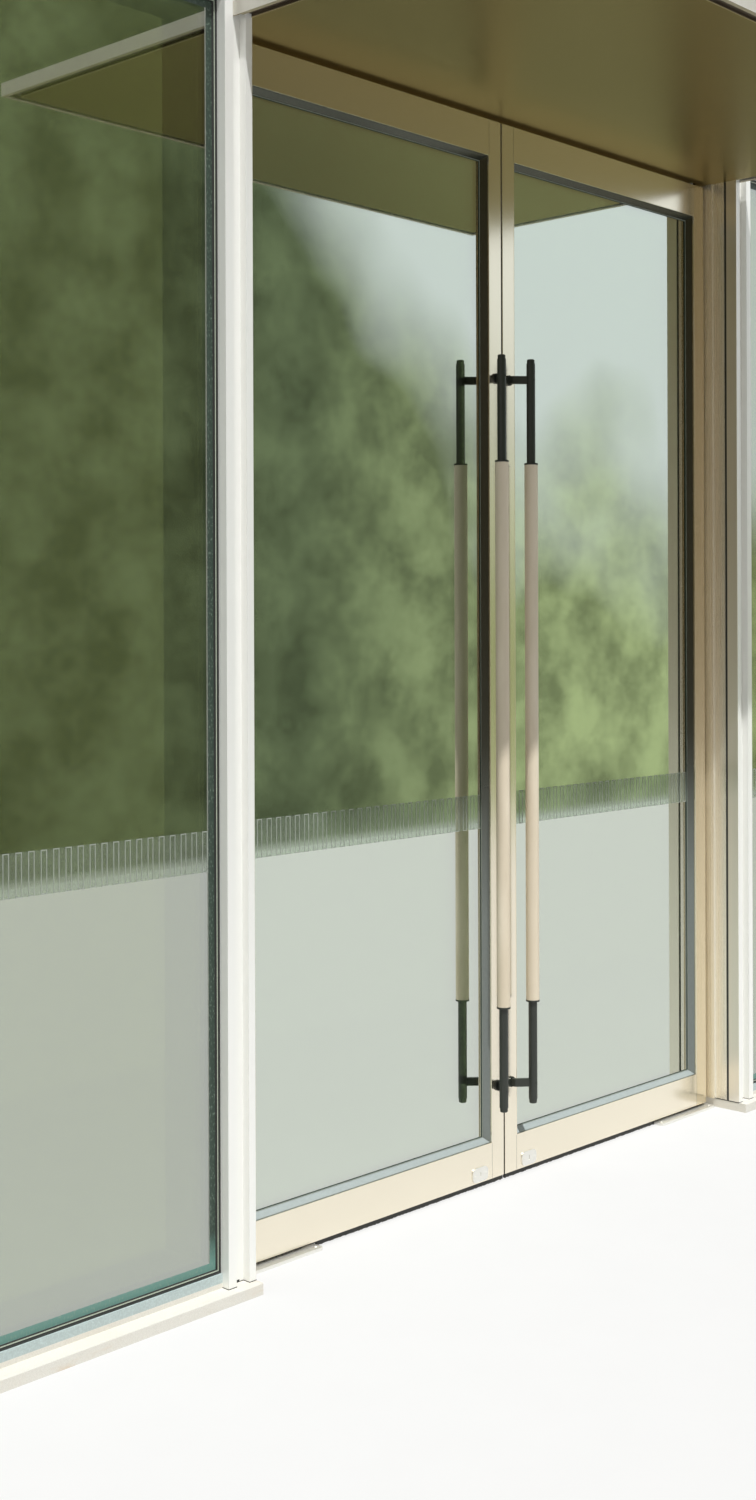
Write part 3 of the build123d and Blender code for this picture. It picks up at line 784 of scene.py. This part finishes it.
def line_bay_pane(side):
    """Spacer bar and dark tape between the sheets of a bay's pane, edge seal and pale edge on both faces."""
    daylight = bay_daylight(side)
    low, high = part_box(f"side_glass_{side}")
    spacer, tape = bmesh.new(), bmesh.new()
    near, far = low[1] + SPACER_MARGIN, high[1] - SPACER_MARGIN
    add_ring(spacer, daylight, BAY_BEAD_REACH, SPACER_WIDTH, near, far)
    add_ring(tape, daylight, BAY_BEAD_REACH + SPACER_WIDTH, INNER_TAPE_WIDTH, near, far)
    add_piece(f"bay_spacer_{side}", spacer, spacer_metal, "root")
    add_piece(f"bay_tape_{side}", tape, gasket_rubber, "root")
    gasket_low, gasket_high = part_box(f"side_gasket_{side}")
    edge, seal = bmesh.new(), bmesh.new()
    edge_inset = BAY_BEAD_REACH - PANE_EDGE_WIDTH
    for pane, bead, outward in ((low[1], gasket_low[1], -1), (high[1], gasket_high[1], 1)):
        add_ring(edge, daylight, edge_inset, PANE_EDGE_WIDTH, bead, bead + outward * PANE_EDGE_RISE)
        add_ring(seal, daylight, BAY_BEAD_REACH, EDGE_SEAL_WIDTH, pane, pane + outward * FILM_THICKNESS)
    add_piece(f"bay_edge_{side}", edge, pane_edge, "root")
    add_piece(f"bay_seal_{side}", seal, edge_seal, "root")


# Seals on the leaves, and the top of the closers' plates that the brushes pass over
PLATE_TOP = 8 * MM
SEAL_RISE = 2.0 * MM
SEAL_FROM = 14 * MM
SEAL_TO = 26 * MM
BRUSH_FROM = -27 * MM
BRUSH_TO = -19 * MM
BRUSH_OVER_FLOOR = 2.5 * MM
BRUSH_OVER_PLATE = 2.0 * MM
TUFT_WIDTH = 3.4 * MM
TUFT_PITCH = 4.0 * MM
TUFT_SPREAD = 2.0 * MM
BRUSH_MARGIN = 3 * MM


def seal_meeting_edge(side):
    """Two dark strips along the meeting edge of a leaf."""
    low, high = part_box(f"meeting_stile_{side}")
    edge, tip = (high[0], high[0] + SEAL_RISE) if side == "left" else (low[0], low[0] - SEAL_RISE)
    strip = bmesh.new()
    for near, far in ((-SEAL_TO, -SEAL_FROM), (SEAL_FROM, SEAL_TO)):
        add_block(strip, (min(edge, tip), near, low[2]), (max(edge, tip), far, high[2]))
    add_piece(f"meeting_seal_{side}", strip, brush_fibre, f"leaf_{side}", soft=SEAL_RISE / 3)


def seal_foot(side):
    """Brush under the bottom rail of a leaf, with shorter tufts over the closer's plate."""
    outward = 1 if side == "left" else -1
    pivot = sum(corner[0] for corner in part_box(f"top_pivot_{side}")) / 2
    heel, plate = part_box(f"hinge_stile_{side}"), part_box(f"floor_closer_{side}")
    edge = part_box(f"meeting_stile_{side}")[int(side == "left")][0]
    heel_reach = min(abs(corner[0] - pivot) for corner in heel)
    plate_reach = max(abs(corner[0] - pivot) for corner in plate) + BRUSH_MARGIN
    lengths = random.Random(SIDES.index(side))
    brush = bmesh.new()
    reach = -min(heel_reach, -BRUSH_FROM)
    while reach < abs(edge - pivot) - BRUSH_MARGIN:
        gap = BRUSH_OVER_FLOOR if reach > plate_reach else PLATE_TOP + BRUSH_OVER_PLATE
        tip = gap + TUFT_SPREAD * lengths.random()
        ends = sorted((pivot + outward * reach, pivot + outward * (reach + TUFT_WIDTH)))
        add_block(brush, (ends[0], BRUSH_FROM, tip), (ends[1], BRUSH_TO, heel[0][2]))
        reach += TUFT_PITCH
    add_piece(f"foot_brush_{side}", brush, brush_fibre, f"leaf_{side}")


# Small fixings
PLATE_SCREW_INSET = 14 * MM
PLATE_SCREW_RADIUS = 4.5 * MM
LOCK_SCREW_RADIUS = 2.2 * MM
LOCK_SCREW_INSET = 9 * MM
SET_SCREW_RADIUS = 3.2 * MM
SET_SCREW_FROM_END = 59 * MM
ROD_RADIUS = 12.5 * MM


def fix_closer(side):
    """Four countersunk screws in the cover plate of a floor closer."""
    low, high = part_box(f"floor_closer_{side}")
    screws = bmesh.new()
    for x in (low[0] + PLATE_SCREW_INSET, high[0] - PLATE_SCREW_INSET):
        for y in (low[1] + PLATE_SCREW_INSET, high[1] - PLATE_SCREW_INSET):
            add_screw(screws, (x, y, PLATE_TOP), (0, 0, 1), PLATE_SCREW_RADIUS)
    add_piece(f"closer_screws_{side}", screws, fitting_steel, "root")


def fix_lock(side):
    """Two small screws in each escutcheon of the floor lock."""
    low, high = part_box(f"floor_lock_{side}")
    middle = (low[2] + high[2]) / 2
    screws = bmesh.new()
    for y, facing in ((low[1], (0, -1, 0)), (high[1], (0, 1, 0))):
        for x in (low[0] + LOCK_SCREW_INSET, high[0] - LOCK_SCREW_INSET):
            add_screw(screws, (x, y, middle), facing, LOCK_SCREW_RADIUS)
    add_piece(f"lock_screws_{side}", screws, fitting_steel, f"leaf_{side}")


def fix_pulls(side):
    """Set screws that hold each pull's rod on its brackets."""
    screws = bmesh.new()
    for face, outward in (("outer", -1), ("inner", 1)):
        grip_low, grip_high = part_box(f"{face}_grip_{side}")
        x, y = (grip_low[0] + grip_high[0]) / 2, (grip_low[1] + grip_high[1]) / 2
        low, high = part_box(f"{face}_pull_{side}")
        for z in (low[2] + SET_SCREW_FROM_END, high[2] - SET_SCREW_FROM_END):
            add_screw(screws, (x, y + outward * ROD_RADIUS, z), (0, outward, 0), SET_SCREW_RADIUS)
    add_piece(f"pull_screws_{side}", screws, black_coat, f"leaf_{side}")


# Edges of the canopy
FASCIA_THICKNESS = 5 * MM
LIP_DEPTH = 8 * MM
LIP_HEIGHT = 2.5 * MM
CANOPY_JOINT_RECESS = 9 * MM
CANOPY_JOINT_THICKNESS = 2 * MM
TRIM_WIDTH = 2.5 * MM
TRIM_HEIGHT = 2.5 * MM
CANOPY_SOFT = 0.4 * MM


def add_border(mesh_data, low, high, width, z_from, z_to):
    """Closed strip along the front and both sides of a rectangle seen from above, mitred at the corners."""
    loops = []
    for z in (z_from, z_to):
        for step in (0.0, width):
            left, right, front = low[0] + step, high[0] - step, low[1] + step
            corners = ((left, high[1]), (left, front), (right, front), (right, high[1]))
            loops.append([mesh_data.verts.new((x, y, z)) for x, y in corners])
    bottom_outer, bottom_inner, top_outer, top_inner = loops
    around = (bottom_outer, bottom_inner, top_inner, top_outer)
    for first, second in zip(around, around[1:] + around[:1]):
        for i in range(3):
            mesh_data.faces.new((first[i], first[i + 1], second[i + 1], second[i]))
    for end in (0, 3):
        mesh_data.faces.new([loop[end] for loop in around])


def trim_canopy():
    """Folded lip at the foot of the fascia, a dark brown sheet of painted shade inside its joint, and the
    edge trim of the soffit panel.
    """
    shell_low, shell_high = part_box("canopy_shell")
    soffit_low, soffit_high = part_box("canopy_soffit")
    fin_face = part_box("mullion_left")[0][1]
    lip = bmesh.new()
    inner_low = (shell_low[0] + FASCIA_THICKNESS, shell_low[1] + FASCIA_THICKNESS)
    inner_high = (shell_high[0] - FASCIA_THICKNESS, fin_face)
    add_border(lip, inner_low, inner_high, LIP_DEPTH, shell_low[2], shell_low[2] + LIP_HEIGHT)
    add_piece("fascia_lip", lip, fascia_metal, "root", soft=CANOPY_SOFT)
    # The dark brown sheet in the joint is painted shade, where the joint's hollow would be in shadow.
    seal = bmesh.new()
    shade_sheet_width = soffit_low[0] - shell_low[0] - FASCIA_THICKNESS
    recess = shell_low[2] + CANOPY_JOINT_RECESS
    add_border(seal, inner_low, inner_high, shade_sheet_width, recess, recess + CANOPY_JOINT_THICKNESS)
    side_low = (soffit_low[0] - CANOPY_JOINT_THICKNESS, soffit_low[1] - CANOPY_JOINT_THICKNESS)
    side_high = (soffit_high[0] + CANOPY_JOINT_THICKNESS, fin_face)
    add_border(seal, side_low, side_high, CANOPY_JOINT_THICKNESS, soffit_low[2] + TRIM_HEIGHT, recess)
    add_piece("canopy_painted_shade", seal, joint_painted_shade, "root")
    trim = bmesh.new()
    outer_low = (soffit_low[0] - TRIM_WIDTH, soffit_low[1] - TRIM_WIDTH)
    outer_high = (soffit_high[0] + TRIM_WIDTH, fin_face)
    add_border(trim, outer_low, outer_high, TRIM_WIDTH, soffit_low[2], soffit_low[2] + TRIM_HEIGHT)
    add_piece("soffit_trim", trim, trim_metal, "root", soft=CANOPY_SOFT)


# Dark joint round the foot of a portal mullion, with a dark patch of painted shade for the weep hole of its
# channel
FOOT_JOINT_RISE = 1.6 * MM
FOOT_JOINT_REACH = 0.8 * MM
OUTER_FIN = 25 * MM
INNER_FIN = 21 * MM
CHANNEL_DEPTH = 22 * MM
WEEP_WIDTH = 14 * MM
WEEP_HEIGHT = 6 * MM


def line_mullion_foot(side):
    """Thin dark joint under the fins and round the sides of a mullion, and a dark patch of painted shade for
    its weep hole.
    """
    low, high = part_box(f"mullion_{side}")
    joint = bmesh.new()
    channel_floor = low[1] + CHANNEL_DEPTH
    left_fin, right_fin = (OUTER_FIN, INNER_FIN) if side == "left" else (INNER_FIN, OUTER_FIN)
    bottom, top = low[2] - FOOT_JOINT_RISE / 2, low[2] + FOOT_JOINT_RISE
    reach = FOOT_JOINT_REACH
    for start, end in ((low[0], low[0] + left_fin), (high[0] - right_fin, high[0])):
        add_block(joint, (start - reach, low[1] - reach, bottom), (end + reach, channel_floor, top))
    add_block(joint, (low[0] - reach, channel_floor - reach, bottom), (high[0] + reach, high[1] + reach, top))
    # The weep hole is no opening: a flat dark patch of painted shade on the back of the channel.
    middle = (low[0] + left_fin + high[0] - right_fin) / 2
    add_block(
        joint, (middle - WEEP_WIDTH / 2, channel_floor - reach, low[2]),
        (middle + WEEP_WIDTH / 2, channel_floor + reach, low[2] + WEEP_HEIGHT),
    )
    add_piece(f"foot_joint_{side}", joint, gasket_rubber, "root")


# Dark strip in the shadow joint between a mullion and its lining
STRIP_SETBACK = 2 * MM
STRIP_THICKNESS = 2 * MM


def seal_lining(side):
    """Dark strip set a little back in the upright joint between a mullion and the lining."""
    inward = 1 if side == "left" else -1
    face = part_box(f"mullion_{side}")[int(side == "left")][0]
    lining_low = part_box(f"jamb_{side}")[0]
    joint_front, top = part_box("head_beam")[0][1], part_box("canopy_soffit")[0][2]
    ends = sorted((face - inward * STRIP_SETBACK, face - inward * (STRIP_SETBACK + STRIP_THICKNESS)))
    strip = bmesh.new()
    add_block(strip, (ends[0], joint_front, lining_low[2]), (ends[1], lining_low[1], top))
    add_piece(f"lining_seal_{side}", strip, gasket_rubber, "root")


# Hairline joints between the stiles and the rails
HAIRLINE_WIDTH = 0.7 * MM
HAIRLINE_RISE = 0.1 * MM


def line_joints(side):
    """Dark hairlines where the rails of a leaf meet its stiles, on both faces."""
    left, right = leaf_daylight(side)[:2]
    reach = HAIRLINE_WIDTH / 2
    joints = bmesh.new()
    for rail in ("top_rail", "bottom_rail"):
        low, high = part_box(f"{rail}_{side}")
        for x in (left, right):
            for y, outward in ((low[1], -1), (high[1], 1)):
                ends = sorted((y, y + outward * HAIRLINE_RISE))
                add_block(joints, (x - reach, ends[0], low[2]), (x + reach, ends[1], high[2]))
    add_piece(f"rail_joints_{side}", joints, gasket_rubber, f"leaf_{side}")


for side in SIDES:
    leaf_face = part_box(f"leaf_glass_{side}")[0][1]
    add_marks("leaf", side, leaf_daylight(side), leaf_face, f"leaf_{side}", LEAF_BEAD_REACH + TAPE_WIDTH)
    bay_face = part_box(f"side_glass_{side}")[0][1]
    add_marks("bay", side, bay_daylight(side), bay_face, "root", BAY_BEAD_REACH + EDGE_SEAL_WIDTH)
    line_leaf_pane(side)
    edge_leaf_pane(side)
    line_joints(side)
    line_bay_pane(side)
    seal_meeting_edge(side)
    seal_foot(side)
    fix_closer(side)
    fix_lock(side)
    fix_pulls(side)
    line_mullion_foot(side)
    seal_lining(side)
trim_canopy()


def set_camera():
    """Camera at the photograph's place, level, with the photograph's framing."""
    data = bpy.data.cameras.new("camera")
    data.sensor_fit = "AUTO"
    data.sensor_width = SENSOR_SIZE
    data.lens = CAMERA_LENS
    data.shift_y = CAMERA_SHIFT
    camera = bpy.data.objects.new("camera", data)
    level = Matrix.Rotation(-CAMERA_HEADING, 4, "Z") @ Matrix.Rotation(math.pi / 2, 4, "X")
    camera.matrix_world = Matrix.Translation(CAMERA_PLACE) @ level @ Matrix.Rotation(CAMERA_ROLL, 4, "Z")
    bpy.context.scene.collection.objects.link(camera)
    bpy.context.scene.camera = camera


def set_sun():
    """Soft main light from the left, high over the street."""
    data = bpy.data.lights.new("sun", "SUN")
    data.energy = SUN_STRENGTH
    data.angle = SUN_SIZE
    sun = bpy.data.objects.new("sun", data)
    sun.rotation_euler = SUN_DIRECTION.to_track_quat("Z", "Y").to_euler()
    bpy.context.scene.collection.objects.link(sun)


def set_sky():
    """Even sky light, which the camera, mirrors and clear panes see as white."""
    world = bpy.data.worlds.new("sky")
    world.use_nodes = True
    tree = world.node_tree
    background = tree.nodes["Background"]
    background.inputs["Color"].default_value = WHITE
    ray = tree.nodes.new("ShaderNodeLightPath").outputs
    seen = ray["Is Camera Ray"]
    for kind in ("Is Glossy Ray", "Is Transmission Ray"):
        either = tree.nodes.new("ShaderNodeMath")
        either.operation = "MAXIMUM"
        tree.links.new(seen, either.inputs[0])
        tree.links.new(ray[kind], either.inputs[1])
        seen = either.outputs[0]
    strength = tree.nodes.new("ShaderNodeMapRange")
    strength.inputs["To Min"].default_value = SKY_STRENGTH
    strength.inputs["To Max"].default_value = BACKGROUND_STRENGTH
    tree.links.new(seen, strength.inputs["Value"])
    tree.links.new(strength.outputs["Result"], background.inputs["Strength"])
    bpy.context.scene.world = world


def lay_sheet(name, corners, material):
    """Flat sheet that belongs to the surroundings and not to the door."""
    mesh = bpy.data.meshes.new(name)
    mesh.from_pydata(corners, [], [(0, 1, 2, 3)])
    mesh.materials.append(material)
    sheet = bpy.data.objects.new(name, mesh)
    bpy.context.scene.collection.objects.link(sheet)
    return sheet


def card_glow(name, near_tone, far_tone, fade, mottling):
    """Glow of a card: pale ground at its foot, mottled tones that change along the facade, and sky above."""
    finish = Finish(name)
    spot = finish.add("ShaderNodeSeparateXYZ", Vector=finish.place).outputs
    along = finish.blend(finish.spread(spot["X"], *STREET_STRETCH), INNER_TONE, near_tone)
    plain = finish.blend(finish.spread(spot["X"], *BRIGHT_STRETCH), along, far_tone)
    mottled = finish.add("ShaderNodeVectorMath", Vector=plain)
    mottled.operation = "SCALE"
    leaves = finish.spread(finish.noise(finish.place, **LEAVES), *LEAF_RANGE, *mottling)
    finish.feed(mottled.inputs["Scale"], leaves)
    lean = finish.spread(spot["X"], *LEAN_STRETCH, -LEAN_DROP, LEAN_DROP)
    waver = finish.spread(finish.noise(finish.place, **WAVER_NOISE), *WAVER_RANGE, -WAVER, WAVER)
    height = finish.calculate("ADD", finish.calculate("ADD", spot["Z"], lean), waver)
    upper = finish.blend(finish.spread(height, *fade), mottled.outputs["Vector"], SKY_TONE)
    whole = finish.blend(finish.spread(spot["Z"], 0.0, CARD_FOOT), GROUND_TONE, upper)
    glow = finish.add("ShaderNodeEmission", Color=whole, Strength=1.0)
    finish.feed(finish.output.inputs["Surface"], glow.outputs[0])
    finish.tree.nodes.remove(finish.shader)
    return finish.material


def hang_cards():
    """Tall cards that only the mirrors and the metal see: greenery on the street side, a dim room inside."""
    centre = (cad_box[0][0] + cad_box[1][0]) / 2
    left, right = centre - CARD_REACH, centre + CARD_REACH
    for name, y, near_tone, far_tone, fade, mottling in (
        ("street_card", -CARD_DISTANCE, STREET_TONE, BRIGHT_TONE, STREET_FADE, STREET_MOTTLING),
        ("inner_card", CARD_DISTANCE, INNER_TONE, INNER_TONE, INNER_FADE, INNER_MOTTLING),
    ):
        top = fade[1] + LEAN_DROP
        corners = [(left, y, 0.0), (right, y, 0.0), (right, y, top), (left, y, top)]
        card = lay_sheet(name, corners, card_glow(f"{name}_finish", near_tone, far_tone, fade, mottling))
        card.visible_camera = False
        card.visible_diffuse = False
        card.visible_shadow = False
        card.visible_transmission = False


def lay_floor():
    """Plain pale floor, which keeps the shadows and which the camera and the mirrors see nearly white."""
    finish = Finish("floor_finish")
    mottle = finish.noise(finish.place, **FLOOR_MOTTLE)
    finish.set(Base_Color=finish.blend(mottle, FLOOR_DARK, FLOOR_LIGHT), Roughness=0.9)
    glow = finish.add("ShaderNodeEmission", Color=FLOOR_GLOW, Strength=1.0)
    ray = finish.tree.nodes.new("ShaderNodeLightPath").outputs
    seen = finish.calculate("MAXIMUM", ray["Is Camera Ray"], ray["Is Glossy Ray"])
    finish.mix_surface(finish.calculate("MULTIPLY", seen, FLOOR_GLOW_SHARE), finish.shader, glow)
    centre = (Vector(cad_box[0]) + Vector(cad_box[1])) / 2
    left, right = centre.x - FLOOR_REACH, centre.x + FLOOR_REACH
    front, back = centre.y - FLOOR_REACH, centre.y + FLOOR_REACH
    corners = [(left, front, 0.0), (right, front, 0.0), (right, back, 0.0), (left, back, 0.0)]
    lay_sheet("floor", corners, finish.material)


set_camera()
set_sun()
set_sky()
hang_cards()
lay_floor()

bpy.context.scene.view_settings.view_transform = "Standard"
